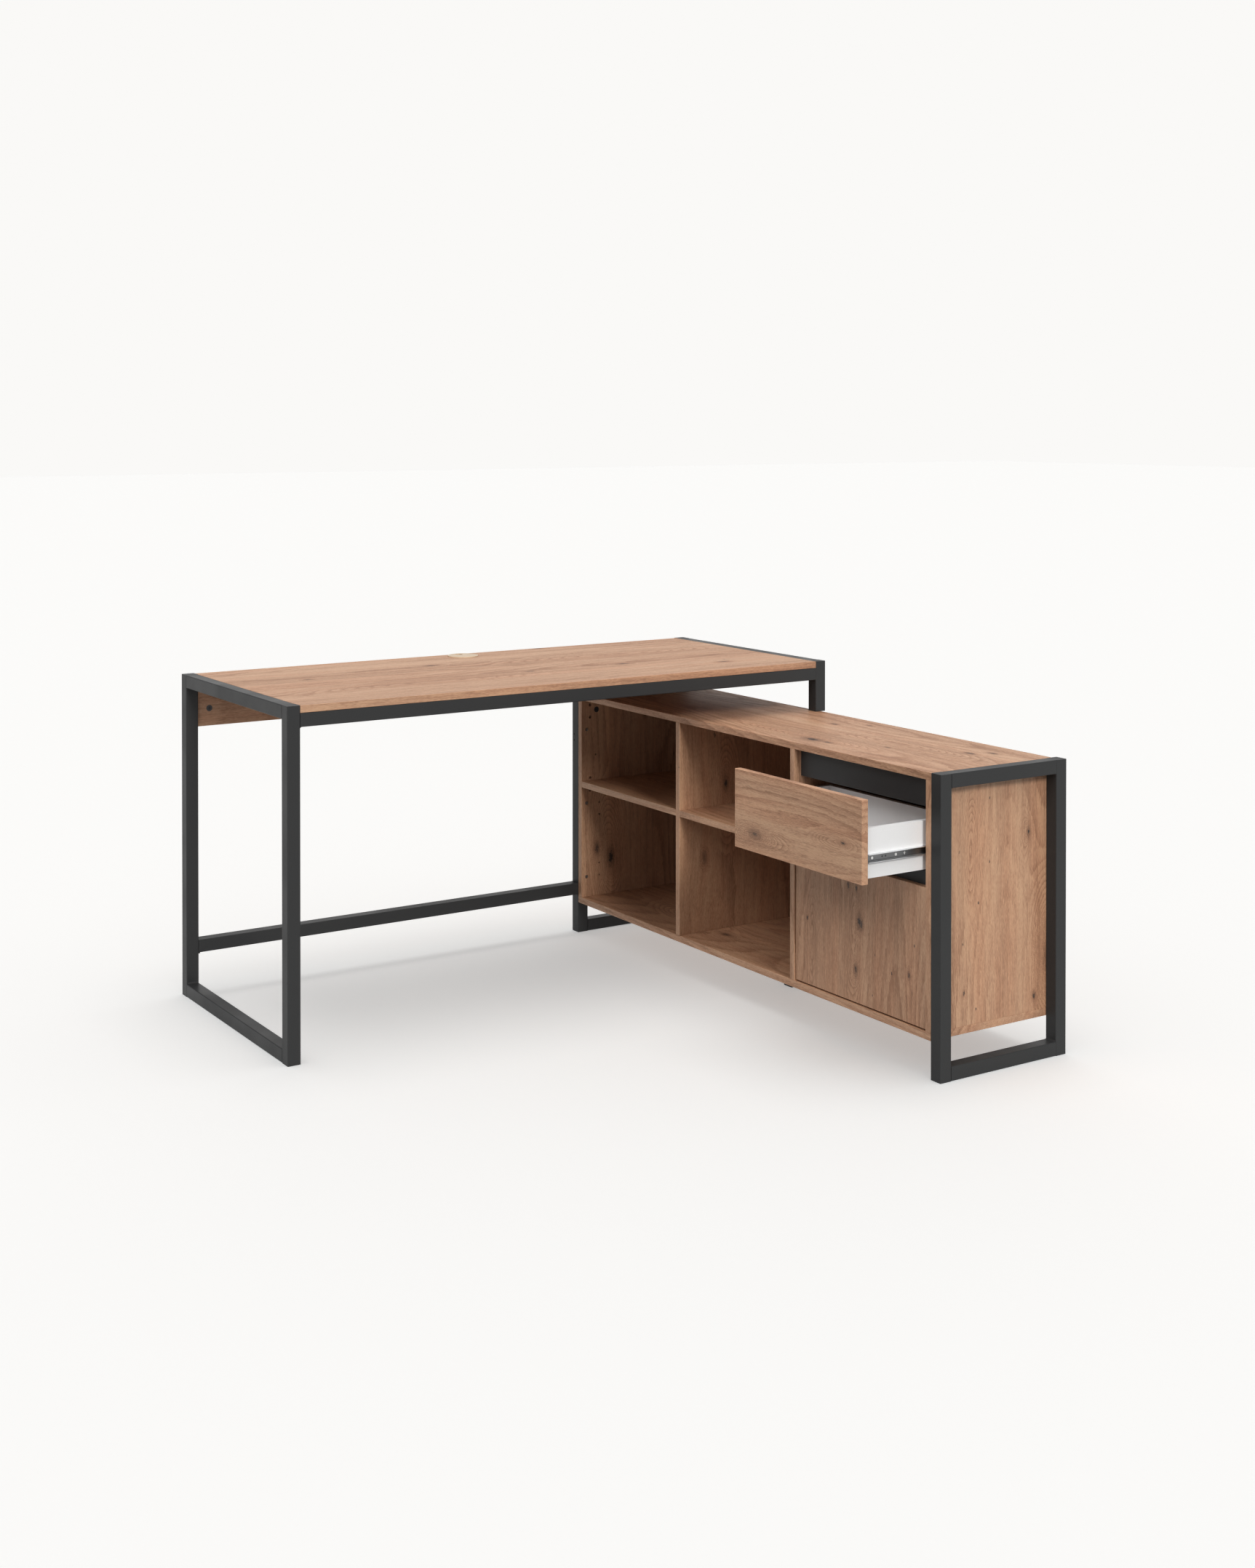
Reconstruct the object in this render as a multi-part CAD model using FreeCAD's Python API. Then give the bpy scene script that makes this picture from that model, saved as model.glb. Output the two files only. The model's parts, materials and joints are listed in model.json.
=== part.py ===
import FreeCAD, Part
import math
import os

# A corner desk: a steel-framed desk top that stands with one end on a long, low sideboard with three bays.
# X runs along the desk, Y runs back along the sideboard, Z is up. The origin is on the floor under the
# middle of the whole footprint. All sizes are in millimetres.

os.makedirs("parts", exist_ok=True)

# ---- driving dimensions: overall ----
desk_width = 1450.0
desk_depth = 615.0
desk_height = 760.0
sideboard_length = 1425.0
sideboard_height = 635.0
sideboard_depth = 360.0

# ---- steel tube and laminated board ----
tube = 30.0
tube_wall = 1.5
tube_corner = 2.0
plug_flange = 1.5
plug_depth = 12.0
plug_fit = 0.1
board = 16.0
board_edge = 0.5
hardboard = 3.0

# ---- desk ----
top_back_gap = 8.0
modesty_gap = 1.0
cross_rail_height = 101.0
end_plate = 3.0
end_plate_drop = 2.0
grommet_from_front = 563.0
grommet_from_left = 730.0

# ---- sideboard carcass ----
case_floor = 80.0
case_back_gap = 14.0
bay_count = 3
shelf_height = 388.0

# ---- fronts and fascias of the near bay ----
front_recess = 3.0
front_side_gap = 2.5
front_bottom_gap = 3.0
finger_gap = 26.0
door_top = 394.0
fascia_upper_height = 61.0
fascia_lower_base = 364.0
fascia_lower_height = 60.0

# ---- drawer box and its slides ----
drawer_open = 172.0
drawer_box_rise = 10.0
drawer_box_height = 102.0
drawer_box_depth = 250.0
drawer_wall = 12.0
drawer_base = 4.0
drawer_base_rise = 8.0
drawer_groove = 6.0
slide_width = 10.0
slide_height = 17.0
slide_length = 246.0
slide_setback = 2.0
slide_rise = 41.5
slide_sheet = 1.0
slide_inner_height = 10.0
slide_inner_depth = 7.5
slide_outer_lip = 1.5
slide_screw_first = 23.0
slide_screw_pitch = 63.5
slide_screw_step = 9.5
case_slide_screw = 12.0
drawer_slide_screw = 10.0
ball_radius = 1.2
ball_play = 0.1
balls_per_row = 5
cage_length = 62.0
cage_sheet = 0.6
cage_arm = 1.1
cage_web_gap = 0.5
cage_lip_gap = 1.0
drawer_dowel_radius = 3.0
drawer_dowel_length = 24.0
drawer_dowel_bite = 8.0
drawer_dowel_shares = (0.3, 0.8)

# ---- door hinges ----
hinge_heights = (165.6, 327.4)
hinge_screw_span = 32.0
hinge_plate_setback = 56.0
hinge_plate = 4.0
hinge_plate_fore = 18.0
hinge_plate_aft = 36.0
hinge_plate_half = 7.0
hinge_screw_margin = 6.0
hinge_screw = 14.0
hinge_arm_margin = 1.0
hinge_arm_rise = 8.0
hinge_arm_half = 5.5
# the hook at the arm's end: offsets in X and Y from the middle of the cup's mouth
hinge_hook = ((8.0, -6.0), (3.0, 5.0), (-8.0, 5.0), (-8.0, -2.0), (-1.0, -2.0), (4.0, -10.0))
cup_radius = 17.5
cup_wall = 1.5
cup_depth = 12.0
cup_inset = 22.0
cup_flange = 1.0
cup_flange_overlap = 3.5

# ---- fasteners ----
frame_bolt_heights = (150.0, 345.0, 540.0)
frame_bolt_back_inset = 9.5
bolt_radius = 3.0
bolt_head_radius = 4.0
bolt_head = 2.2
bolt_hex_depth = 1.3
bolt_hex_flats = 4.0
bolt_past_board = 7.0
stud_radius = 4.0
stud_length = 26.0
stud_bite = 10.0
block_length = 20.0
cam_radius = 7.5
cam_depth = 12.5
cam_drop = 28.0
cam_setback = 47.0
cam_bolt_radius = 3.0
cam_bolt_bore = 3.4
cam_bolt_grip = 10.0
cam_slot_reach = 4.1
cam_slot_half = 0.6
cam_slot_depth = 1.5
modesty_cam_inset = 30.0
modesty_cam_rise = 41.5
dowel_radius = 4.0
dowel_length = 30.0
dowel_bite = 11.0
fascia_dowel_offsets = (14.0, 47.0)
shelf_middle_dowels = (0.3, 0.7)
shelf_far_dowels = (0.2, 0.8)
modesty_dowels = (0.1, 0.37, 0.63, 0.9)
desk_screw_shares = (0.06, 0.28, 0.5, 0.72, 0.94)
desk_screw_bite = 11.0
bottom_screw = 48.0
long_screw_radius = 2.5
long_screw_head_radius = 3.5
small_screw_radius = 1.75
small_screw_head_radius = 3.0
screw_head = 1.2
nail_radius = 0.8
nail_head_radius = 2.0
nail_head = 0.6
nail_length = 14.0
nail_pitch = 150.0
nail_end_gap = 32.0
spare_hole_radius = 2.5
leg_hole_heights = (508.5, 524.5)
leg_hole_back_inset = 9.5
leg_hole_radius = 1.8

# ---- cable outlet in the desk top ----
outlet_bore_radius = 30.0
outlet_flange_radius = 38.5
outlet_flange = 2.5
outlet_rim = 1.25
outlet_wall = 2.0
outlet_recess = 1.7
lid_radius = 33.0
lid_play = 0.2
lid_disc = 1.5
lid_skirt = 9.0
lid_skirt_wall = 1.5
lid_notch_width = 15.0
lid_notch_start = 12.0

# ---- places worked out from the sizes above ----
left = -desk_width / 2
right = desk_width / 2
near = -sideboard_length / 2
back = sideboard_length / 2
desk_front = back - desk_depth
top_back = back - top_back_gap
desk_under = desk_height - board
case_front = right - sideboard_depth
case_rear = right - case_back_gap
case_depth_end = case_rear - hardboard
case_near = near + tube
case_far = back - tube
case_under = sideboard_height - board
case_base = case_floor + board
bay_width = (case_far - case_near - (bay_count + 1) * board) / bay_count
bay_start = [case_near + board + index * (bay_width + board) for index in range(bay_count)]
near_bay = (bay_start[0], bay_start[0] + bay_width)
middle_bay = (bay_start[1], bay_start[1] + bay_width)
far_bay = (bay_start[2], bay_start[2] + bay_width)
front_face = case_front + front_recess
front_back = front_face + board
front_span = (near_bay[0] + front_side_gap, near_bay[1] - front_side_gap)
drawer_low = door_top + finger_gap
drawer_high = case_under - finger_gap
slide_level = drawer_low + drawer_box_rise + slide_rise
slide_start = front_back + slide_setback
panel_bolt_rows = (case_front + tube / 2, case_rear - frame_bolt_back_inset)

AXES = {
    "x": FreeCAD.Vector(1, 0, 0),
    "y": FreeCAD.Vector(0, 1, 0),
    "z": FreeCAD.Vector(0, 0, 1),
}
nodes = {}


# ---- small helpers ----
def add(node, *shapes):
    """Put one or more solids into a named node."""
    for shape in shapes:
        nodes.setdefault(node, []).append(shape.Solids[0])


def drill(node, tool):
    """Cut a tool out of every solid of a node."""
    nodes[node] = [solid.cut(tool).Solids[0] for solid in nodes[node]]


def seat(group, hosts, fastener):
    """Add a fastener to its group and cut its exact shape out of the pieces that hold it."""
    for host in hosts:
        drill(host, fastener)
    add(group, fastener)


def span_box(x, y, z):
    """A plain block between three (low, high) pairs."""
    corner = FreeCAD.Vector(x[0], y[0], z[0])
    return Part.makeBox(x[1] - x[0], y[1] - y[0], z[1] - z[0], corner)


def rod(axis, at, start, end, radius):
    """A round bar along one axis, through the point at, from start to end."""
    base = FreeCAD.Vector(*at)
    setattr(base, axis, min(start, end))
    return Part.makeCylinder(radius, abs(end - start), base, AXES[axis])


def edges_along(shape, axis):
    """The straight edges of a block that run along one axis."""
    chosen = []
    for edge in shape.Edges:
        run = edge.Vertexes[1].Point - edge.Vertexes[0].Point
        if abs(run.dot(AXES[axis])) > 0.99 * run.Length:
            chosen.append(edge)
    return chosen


def rounded_block(axis, x, y, z, radius=tube_corner):
    """A block whose edges along one axis are rounded."""
    block = span_box(x, y, z)
    return block.makeFillet(radius, edges_along(block, axis))


def bore(axis, x, y, z):
    """The space inside a square tube that runs along one axis and fills a block."""
    spans = []
    for name, span in (("x", x), ("y", y), ("z", z)):
        inset = 0.0 if name == axis else tube_wall
        spans.append((span[0] + inset, span[1] - inset))
    return span_box(*spans)


def square_tube(axis, x, y, z):
    """A length of hollow square tube that fills a block."""
    return rounded_block(axis, x, y, z).cut(bore(axis, x, y, z))


def panel(x, y, z):
    """A laminated board with bevelled edges."""
    block = span_box(x, y, z)
    return block.makeChamfer(board_edge, block.Edges)


def headed(axis, at, sign, length, shank, head, head_height):
    """A screw, bolt or nail: the head sits on the plane through at, the shank runs sign times the axis."""
    plane = at["xyz".index(axis)]
    shaft = rod(axis, at, plane, plane + sign * length, shank)
    cap = rod(axis, at, plane - sign * head_height, plane, head)
    return shaft.fuse(cap)


def long_screw(axis, at, sign, length):
    """A thick screw that joins two boards, or a tube and a board."""
    return headed(axis, at, sign, length, long_screw_radius, long_screw_head_radius, screw_head)


def small_screw(axis, at, sign, length):
    """A thin screw that holds a slide or a hinge plate."""
    return headed(axis, at, sign, length, small_screw_radius, small_screw_head_radius, screw_head)


def end_plug(x, y, level, sign):
    """A plastic plug in the end of an upright tube; sign +1 closes a top end, -1 a bottom end."""
    flange_z = sorted((level, level - sign * plug_flange))
    body_z = sorted((level - sign * plug_flange, level - sign * (plug_flange + plug_depth)))
    inset = tube_wall + plug_fit
    flange = rounded_block("z", (x, x + tube), (y, y + tube), flange_z)
    body = span_box((x + inset, x + tube - inset), (y + inset, y + tube - inset), body_z)
    return flange.fuse(body)


# ---- steel frame ----
def upright(node, x, y, z, plug_top=True, plug_bottom=True):
    """A leg: an upright square tube with a plug in each open end."""
    low = z[0]
    high = z[1]
    if plug_bottom:
        add("floor_glides", end_plug(x, y, low, -1))
        low = low + plug_flange
    if plug_top:
        add("leg_top_plugs", end_plug(x, y, high, 1))
        high = high - plug_flange
    add(node, square_tube("z", (x, x + tube), (y, y + tube), (low, high)))


def make_left_frame():
    """The closed frame that carries the free end of the desk."""
    upright("left_leg_front", left, desk_front, (0, desk_height))
    upright("left_leg_back", left, back - tube, (0, desk_height))
    x = (left, left + tube)
    y = (desk_front + tube, back - tube)
    add("left_rail_top", square_tube("y", x, y, (desk_height - tube, desk_height)))
    add("left_rail_bottom", square_tube("y", x, y, (0, tube)))


def make_right_frame():
    """The short frame that stands on the sideboard and carries the other end of the desk."""
    x = right - tube
    upright("right_leg_front", x, desk_front, (sideboard_height, desk_height), plug_bottom=False)
    upright("right_leg_back", x, back - tube, (sideboard_height, desk_height), plug_bottom=False)
    y = (desk_front + tube, back - tube)
    add("right_rail_top", square_tube("y", (x, right), y, (desk_height - tube, desk_height)))


def make_end_frame(name, y_low, plug_back_top):
    """A closed frame at one end of the sideboard."""
    upright(name + "_leg_front", case_front, y_low, (0, sideboard_height))
    upright(name + "_leg_back", right - tube, y_low, (0, sideboard_height), plug_top=plug_back_top)
    x = (case_front + tube, right - tube)
    y = (y_low, y_low + tube)
    add(name + "_rail_top", square_tube("x", x, y, (sideboard_height - tube, sideboard_height)))
    add(name + "_rail_bottom", square_tube("x", x, y, (0, tube)))


def make_long_rails():
    """The apron under the front of the desk top and the low rail between the back legs."""
    apron_z = (desk_under - tube, desk_under)
    apron_x = (left + tube, right - tube)
    add("front_apron", square_tube("x", apron_x, (desk_front, desk_front + tube), apron_z))
    rail_x = (left + tube + end_plate, case_front - end_plate)
    rail_z = (cross_rail_height, cross_rail_height + tube)
    add("cross_rail", square_tube("x", rail_x, (back - tube, back), rail_z))
    plate_z = (cross_rail_height - end_plate_drop, cross_rail_height + tube)
    for plate_x in ((left + tube, rail_x[0]), (rail_x[1], case_front)):
        add("cross_rail_end_plates", span_box(plate_x, (back - tube, back), plate_z))


def make_centre_leg():
    """The short support under the middle of the sideboard."""
    x = case_front + (sideboard_depth - tube) / 2
    y = (case_near + case_far - tube) / 2
    upright("centre_support_leg", x, y, (0, case_floor), plug_top=False)
    return x, y


def add_stud(axis, at, wall, sign, hosts):
    """A stud from the block in a tube end into the piece that the tube meets.

    at is a point on the stud, wall is the tube's end plane and sign points into the tube.
    """
    start = wall - sign * stud_bite
    stud = rod(axis, at, start, start + sign * stud_length, stud_radius)
    seat("joining_studs", hosts, stud)


def make_tube_joints(centre_x, centre_y):
    """Blocks and studs that tie the apron, the cross rail, the short frame and the centre leg."""
    apron_y = (desk_front, desk_front + tube)
    apron_z = (desk_under - tube, desk_under)
    cross_y = (back - tube, back)
    cross_z = (cross_rail_height, cross_rail_height + tube)
    runs = (
        (left + tube, 1, apron_y, apron_z, ["left_leg_front"]),
        (right - tube, -1, apron_y, apron_z, ["right_leg_front"]),
        (left + tube + end_plate, 1, cross_y, cross_z, ["left_leg_back", "cross_rail_end_plates"]),
        (case_front - end_plate, -1, cross_y, cross_z, ["far_leg_front", "cross_rail_end_plates"]),
    )
    for wall, sign, y, z, hosts in runs:
        span = sorted((wall, wall + sign * block_length))
        add("end_blocks", bore("x", span, y, z))
        middle = (wall, sum(y) / 2, sum(z) / 2)
        add_stud("x", middle, wall, sign, ["end_blocks"] + hosts)

    block_z = (case_floor - block_length, case_floor)
    add("end_blocks", bore("z", (centre_x, centre_x + tube), (centre_y, centre_y + tube), block_z))
    middle = (centre_x + tube / 2, centre_y + tube / 2, case_floor)
    add_stud("z", middle, case_floor, -1, ["end_blocks", "sideboard_bottom"])

    leg_x = (right - tube, right)
    block_z = (sideboard_height, sideboard_height + block_length)
    add("end_blocks", bore("z", leg_x, (desk_front, desk_front + tube), block_z))
    stud_x = case_depth_end - stud_radius - tube_wall
    middle = (stud_x, desk_front + tube / 2, sideboard_height)
    add_stud("z", middle, sideboard_height, 1, ["end_blocks", "sideboard_top"])

    joiner_z = (sideboard_height - block_length, sideboard_height + block_length)
    add("end_blocks", bore("z", leg_x, (back - tube, back), joiner_z))


# ---- boards ----
def make_desk_boards():
    """The desk top and the modesty panel under its back edge."""
    x = (left + tube, right - tube)
    add("desk_top", panel(x, (desk_front, top_back), (desk_under, desk_height)))
    modesty_z = (sideboard_height + modesty_gap, desk_under)
    add("modesty_panel", panel(x, (top_back - board, top_back), modesty_z))


def make_carcass():
    """The boards of the sideboard and its hardboard back."""
    x = (case_front, case_depth_end)
    upright_z = (case_base, case_under)
    y = (case_near, case_far)
    add("sideboard_top", panel((case_front, case_rear), y, (case_under, sideboard_height)))
    add("sideboard_bottom", panel(x, y, (case_floor, case_base)))
    add("side_panel_near", panel(x, (case_near, case_near + board), upright_z))
    add("side_panel_far", panel(x, (case_far - board, case_far), upright_z))
    add("partition_near", panel(x, (near_bay[1], near_bay[1] + board), upright_z))
    add("partition_far", panel(x, (middle_bay[1], middle_bay[1] + board), upright_z))
    shelf_z = (shelf_height, shelf_height + board)
    add("shelf_middle", panel(x, middle_bay, shelf_z))
    add("shelf_far", panel(x, far_bay, shelf_z))
    add("back_panel", span_box((case_depth_end, case_rear), y, (case_floor, case_under)))


def make_fascias():
    """The two dark rails behind the fronts: one above the drawer, one between drawer and door."""
    x = (front_back, front_back + board)
    add("fascia_upper", panel(x, near_bay, (case_under - fascia_upper_height, case_under)))
    lower_z = (fascia_lower_base, fascia_lower_base + fascia_lower_height)
    add("fascia_lower", panel(x, near_bay, lower_z))


# ---- board fasteners ----
def cam_lock(axis, face, sign, centre, bolt_axis, bolt_sign):
    """A round cam flush with a board's face, with a cross slot and a way in for its bolt.

    sign points from the face into the board; the bolt arrives from bolt_sign along bolt_axis.
    """
    body = rod(axis, centre, face, face + sign * cam_depth, cam_radius)
    reach = centre["xyz".index(bolt_axis)]
    middle = list(centre)
    middle["xyz".index(axis)] = face + sign * board / 2
    body = body.cut(rod(bolt_axis, middle, reach, reach + bolt_sign * cam_radius * 2, cam_bolt_bore))
    for turned in (False, True):
        half = [cam_slot_reach, cam_slot_reach, cam_slot_reach]
        others = [index for index in range(3) if index != "xyz".index(axis)]
        half[others[0 if turned else 1]] = cam_slot_half
        half["xyz".index(axis)] = cam_slot_depth
        spans = []
        origin = list(centre)
        origin["xyz".index(axis)] = face
        for index in range(3):
            spans.append((origin[index] - half[index], origin[index] + half[index]))
        body = body.cut(span_box(*spans))
    return body


def fit_cam(host, axis, face, sign, centre, bolt_axis, bolt_sign, bolt_end, bolt_hosts):
    """Bore a board for one cam and its bolt and add both."""
    drill(host, rod(axis, centre, face, face + sign * cam_depth, cam_radius))
    middle = list(centre)
    middle["xyz".index(axis)] = face + sign * board / 2
    start = middle["xyz".index(bolt_axis)]
    drill(host, rod(bolt_axis, middle, start, bolt_end, cam_bolt_bore))
    add("cam_locks", cam_lock(axis, face, sign, centre, bolt_axis, bolt_sign))
    bolt = rod(bolt_axis, middle, start, bolt_end, cam_bolt_radius)
    for name in bolt_hosts:
        drill(name, bolt)
    add("cam_bolts", bolt)


def make_cams():
    """Cams that pull the sideboard top onto its uprights and the modesty panel onto the desk legs."""
    bolt_end = case_under + cam_bolt_grip
    level = case_under - cam_drop
    hosts = (
        ("side_panel_near", case_near + board, -1),
        ("side_panel_far", case_far - board, 1),
        ("partition_near", near_bay[1] + board, -1),
        ("partition_far", middle_bay[1] + board, -1),
    )
    for host, face, sign in hosts:
        for x in (case_front + cam_setback, case_depth_end - cam_setback):
            fit_cam(host, "y", face, sign, (x, face, level), "z", 1, bolt_end, ["sideboard_top"])

    face = top_back - board
    level = sideboard_height + modesty_gap + modesty_cam_rise
    ends = (
        (left + tube, 1, "left_leg_back"),
        (right - tube, -1, "right_leg_back"),
    )
    for wall, sign, leg in ends:
        x = wall + sign * modesty_cam_inset
        bolt_end = wall - sign * cam_bolt_grip
        fit_cam("modesty_panel", "y", face, 1, (x, face, level), "x", -sign, bolt_end, [leg])


def add_dowel(axis, at, joint, sign, hosts):
    """A wooden dowel across a joint plane; it enters the first board on the sign side by dowel_bite."""
    start = joint + sign * dowel_bite
    dowel = rod(axis, at, start, start - sign * dowel_length, dowel_radius)
    seat("dowels", hosts, dowel)


def make_dowels():
    """Dowels that hold the fascias, the fixed shelves and the top of the modesty panel."""
    fascia_x = front_back + board / 2
    fascias = (
        ("fascia_upper", case_under - fascia_upper_height),
        ("fascia_lower", fascia_lower_base),
    )
    for fascia, base in fascias:
        for offset in fascia_dowel_offsets:
            at = (fascia_x, 0, base + offset)
            add_dowel("y", at, near_bay[0], -1, ["side_panel_near", fascia])
            add_dowel("y", at, near_bay[1], 1, ["partition_near", fascia])

    shelves = (
        ("shelf_middle", middle_bay, "partition_near", "partition_far", shelf_middle_dowels),
        ("shelf_far", far_bay, "partition_far", "side_panel_far", shelf_far_dowels),
    )
    depth = case_depth_end - case_front
    for shelf, bay, host_low, host_high, shares in shelves:
        for share in shares:
            at = (case_front + share * depth, 0, shelf_height + board / 2)
            add_dowel("y", at, bay[0], -1, [host_low, shelf])
            add_dowel("y", at, bay[1], 1, [host_high, shelf])

    modesty_y = top_back - board / 2
    for share in modesty_dowels:
        x = left + tube + share * (desk_width - 2 * tube)
        add_dowel("z", (x, modesty_y, 0), desk_under, 1, ["modesty_panel", "desk_top"])


def hex_recess(axis, at, sign, depth, flats):
    """A six-sided socket that opens at the point at and goes sign times depth along Y."""
    radius = flats / math.sqrt(3)
    points = []
    for index in range(7):
        angle = math.radians(60 * index)
        offset = FreeCAD.Vector(radius * math.cos(angle), 0, radius * math.sin(angle))
        points.append(FreeCAD.Vector(*at) + offset)
    face = Part.Face(Part.makePolygon(points))
    return face.extrude(AXES[axis] * (sign * depth))


def make_frame_bolts():
    """Bolts from inside the sideboard, through its side panels, into the end frames."""
    ends = (
        ("side_panel_near", case_near + board, -1, "near"),
        ("side_panel_far", case_far - board, 1, "far"),
    )
    for host, face, sign, frame in ends:
        for x, leg in zip(panel_bolt_rows, ("_leg_front", "_leg_back")):
            for level in frame_bolt_heights:
                at = (x, face, level)
                bolt = headed("y", at, sign, board + bolt_past_board, bolt_radius, bolt_head_radius,
                              bolt_head)
                drill(host, bolt)
                drill(frame + leg, bolt)
                outside = (x, face - sign * bolt_head, level)
                add("frame_bolts", bolt.cut(hex_recess("y", outside, sign, bolt_hex_depth, bolt_hex_flats)))


def make_long_screws():
    """Screws up through the apron into the desk top, and up through the bottom board into the uprights."""
    for share in desk_screw_shares:
        x = left + tube + share * (desk_width - 2 * tube)
        at = (x, desk_front + tube / 2, desk_under - tube)
        screw = long_screw("z", at, 1, tube + desk_screw_bite)
        seat("desk_screws", ["front_apron", "desk_top"], screw)

    uprights = (
        ("side_panel_near", case_near + board / 2),
        ("partition_near", near_bay[1] + board / 2),
        ("partition_far", middle_bay[1] + board / 2),
        ("side_panel_far", case_far - board / 2),
    )
    for host, y in uprights:
        for x in (case_front + cam_setback, case_depth_end - cam_setback):
            at = (x, y, case_floor)
            seat("bottom_screws", ["sideboard_bottom", host], long_screw("z", at, 1, bottom_screw))


def spread(low, high, pitch):
    """Evenly spaced places from low to high, about one pitch apart."""
    count = max(1, round((high - low) / pitch))
    return [low + (high - low) * index / count for index in range(count + 1)]


def make_back_nails():
    """Flat-headed nails along every board edge behind the hardboard back."""
    def nail(y, level, host):
        at = (case_rear, y, level)
        pin = headed("x", at, -1, nail_length, nail_radius, nail_head_radius, nail_head)
        seat("back_panel_nails", ["back_panel", host], pin)

    uprights = (
        (case_near + board / 2, "side_panel_near"),
        (near_bay[1] + board / 2, "partition_near"),
        (middle_bay[1] + board / 2, "partition_far"),
        (case_far - board / 2, "side_panel_far"),
    )
    for y, host in uprights:
        for level in spread(case_base + nail_end_gap, case_under - nail_end_gap, nail_pitch):
            nail(y, level, host)
    for bay in (near_bay, middle_bay, far_bay):
        for y in spread(bay[0] + nail_end_gap, bay[1] - nail_end_gap, nail_pitch):
            nail(y, case_floor + board / 2, "sideboard_bottom")


def make_spare_holes():
    """Open factory holes at the far end, for fitting the door, the drawer and the desk there instead."""
    face = case_far - board
    fascia_x = front_back + board / 2
    bases = (case_under - fascia_upper_height, fascia_lower_base)
    for base in bases:
        for offset in fascia_dowel_offsets:
            at = (fascia_x, face, base + offset)
            drill("side_panel_far", rod("y", at, face, face + dowel_bite, dowel_radius))
    small = [(slide_start + slide_screw_first, slide_level)]
    for height in hinge_heights:
        for half in (-hinge_screw_span / 2, hinge_screw_span / 2):
            small.append((case_front + hinge_plate_setback, height + half))
    for x, level in small:
        drill("side_panel_far", rod("y", (x, face, level), face, face + dowel_bite, spare_hole_radius))
    for level in leg_hole_heights:
        at = (case_front, back - leg_hole_back_inset, level)
        drill("far_leg_front", rod("x", at, case_front, case_front + tube_wall, leg_hole_radius))


# ---- drawer ----
def make_drawer():
    """The drawer, pulled out by drawer_open."""
    face = front_face - drawer_open
    inner = front_back - drawer_open
    box_z = (drawer_low + drawer_box_rise, drawer_low + drawer_box_rise + drawer_box_height)
    box_y = (near_bay[0] + slide_width, near_bay[1] - slide_width)
    end = inner + drawer_box_depth
    add("drawer_front", panel((face, inner), front_span, (drawer_low, drawer_high)))
    add("drawer_side_near", span_box((inner, end), (box_y[0], box_y[0] + drawer_wall), box_z))
    add("drawer_side_far", span_box((inner, end), (box_y[1] - drawer_wall, box_y[1]), box_z))
    inside_y = (box_y[0] + drawer_wall, box_y[1] - drawer_wall)
    add("drawer_back", span_box((end - drawer_wall, end), inside_y, box_z))

    base_low = box_z[0] + drawer_base_rise
    base = span_box((inner - drawer_groove, end - drawer_wall + drawer_groove),
                    (inside_y[0] - drawer_groove, inside_y[1] + drawer_groove),
                    (base_low, base_low + drawer_base))
    hosts = ["drawer_front", "drawer_side_near", "drawer_side_far", "drawer_back"]
    seat("drawer_bottom", hosts, base)
    make_drawer_dowels(inner, end, box_y, box_z)


def make_drawer_dowels(inner, end, box_y, box_z):
    """Thin dowels between the drawer front, sides and back."""
    middle = drawer_wall / 2
    front_start = inner - drawer_dowel_bite
    sides = (
        ("drawer_side_near", box_y[0], 1),
        ("drawer_side_far", box_y[1], -1),
    )
    for side, outside, sign in sides:
        rear_start = outside + sign * (drawer_wall - drawer_dowel_bite)
        rear_end = rear_start + sign * drawer_dowel_length
        for share in drawer_dowel_shares:
            level = box_z[0] + share * drawer_box_height
            at = (front_start, outside + sign * middle, level)
            front = rod("x", at, front_start, front_start + drawer_dowel_length, drawer_dowel_radius)
            seat("drawer_dowels", ["drawer_front", side], front)
            rear = rod("y", (end - middle, rear_start, level), rear_start, rear_end, drawer_dowel_radius)
            seat("drawer_dowels", ["drawer_back", side], rear)


def channel(x, y_web, y_lip, half, sheet):
    """A U-shaped steel channel along X, centred on the slide level and open towards y_lip."""
    sign = 1 if y_lip > y_web else -1
    outer = span_box(x, sorted((y_web, y_lip)), (slide_level - half, slide_level + half))
    hollow = span_box(x, sorted((y_web + sign * sheet, y_lip)),
                      (slide_level - half + sheet, slide_level + half - sheet))
    return outer.cut(hollow)


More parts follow.
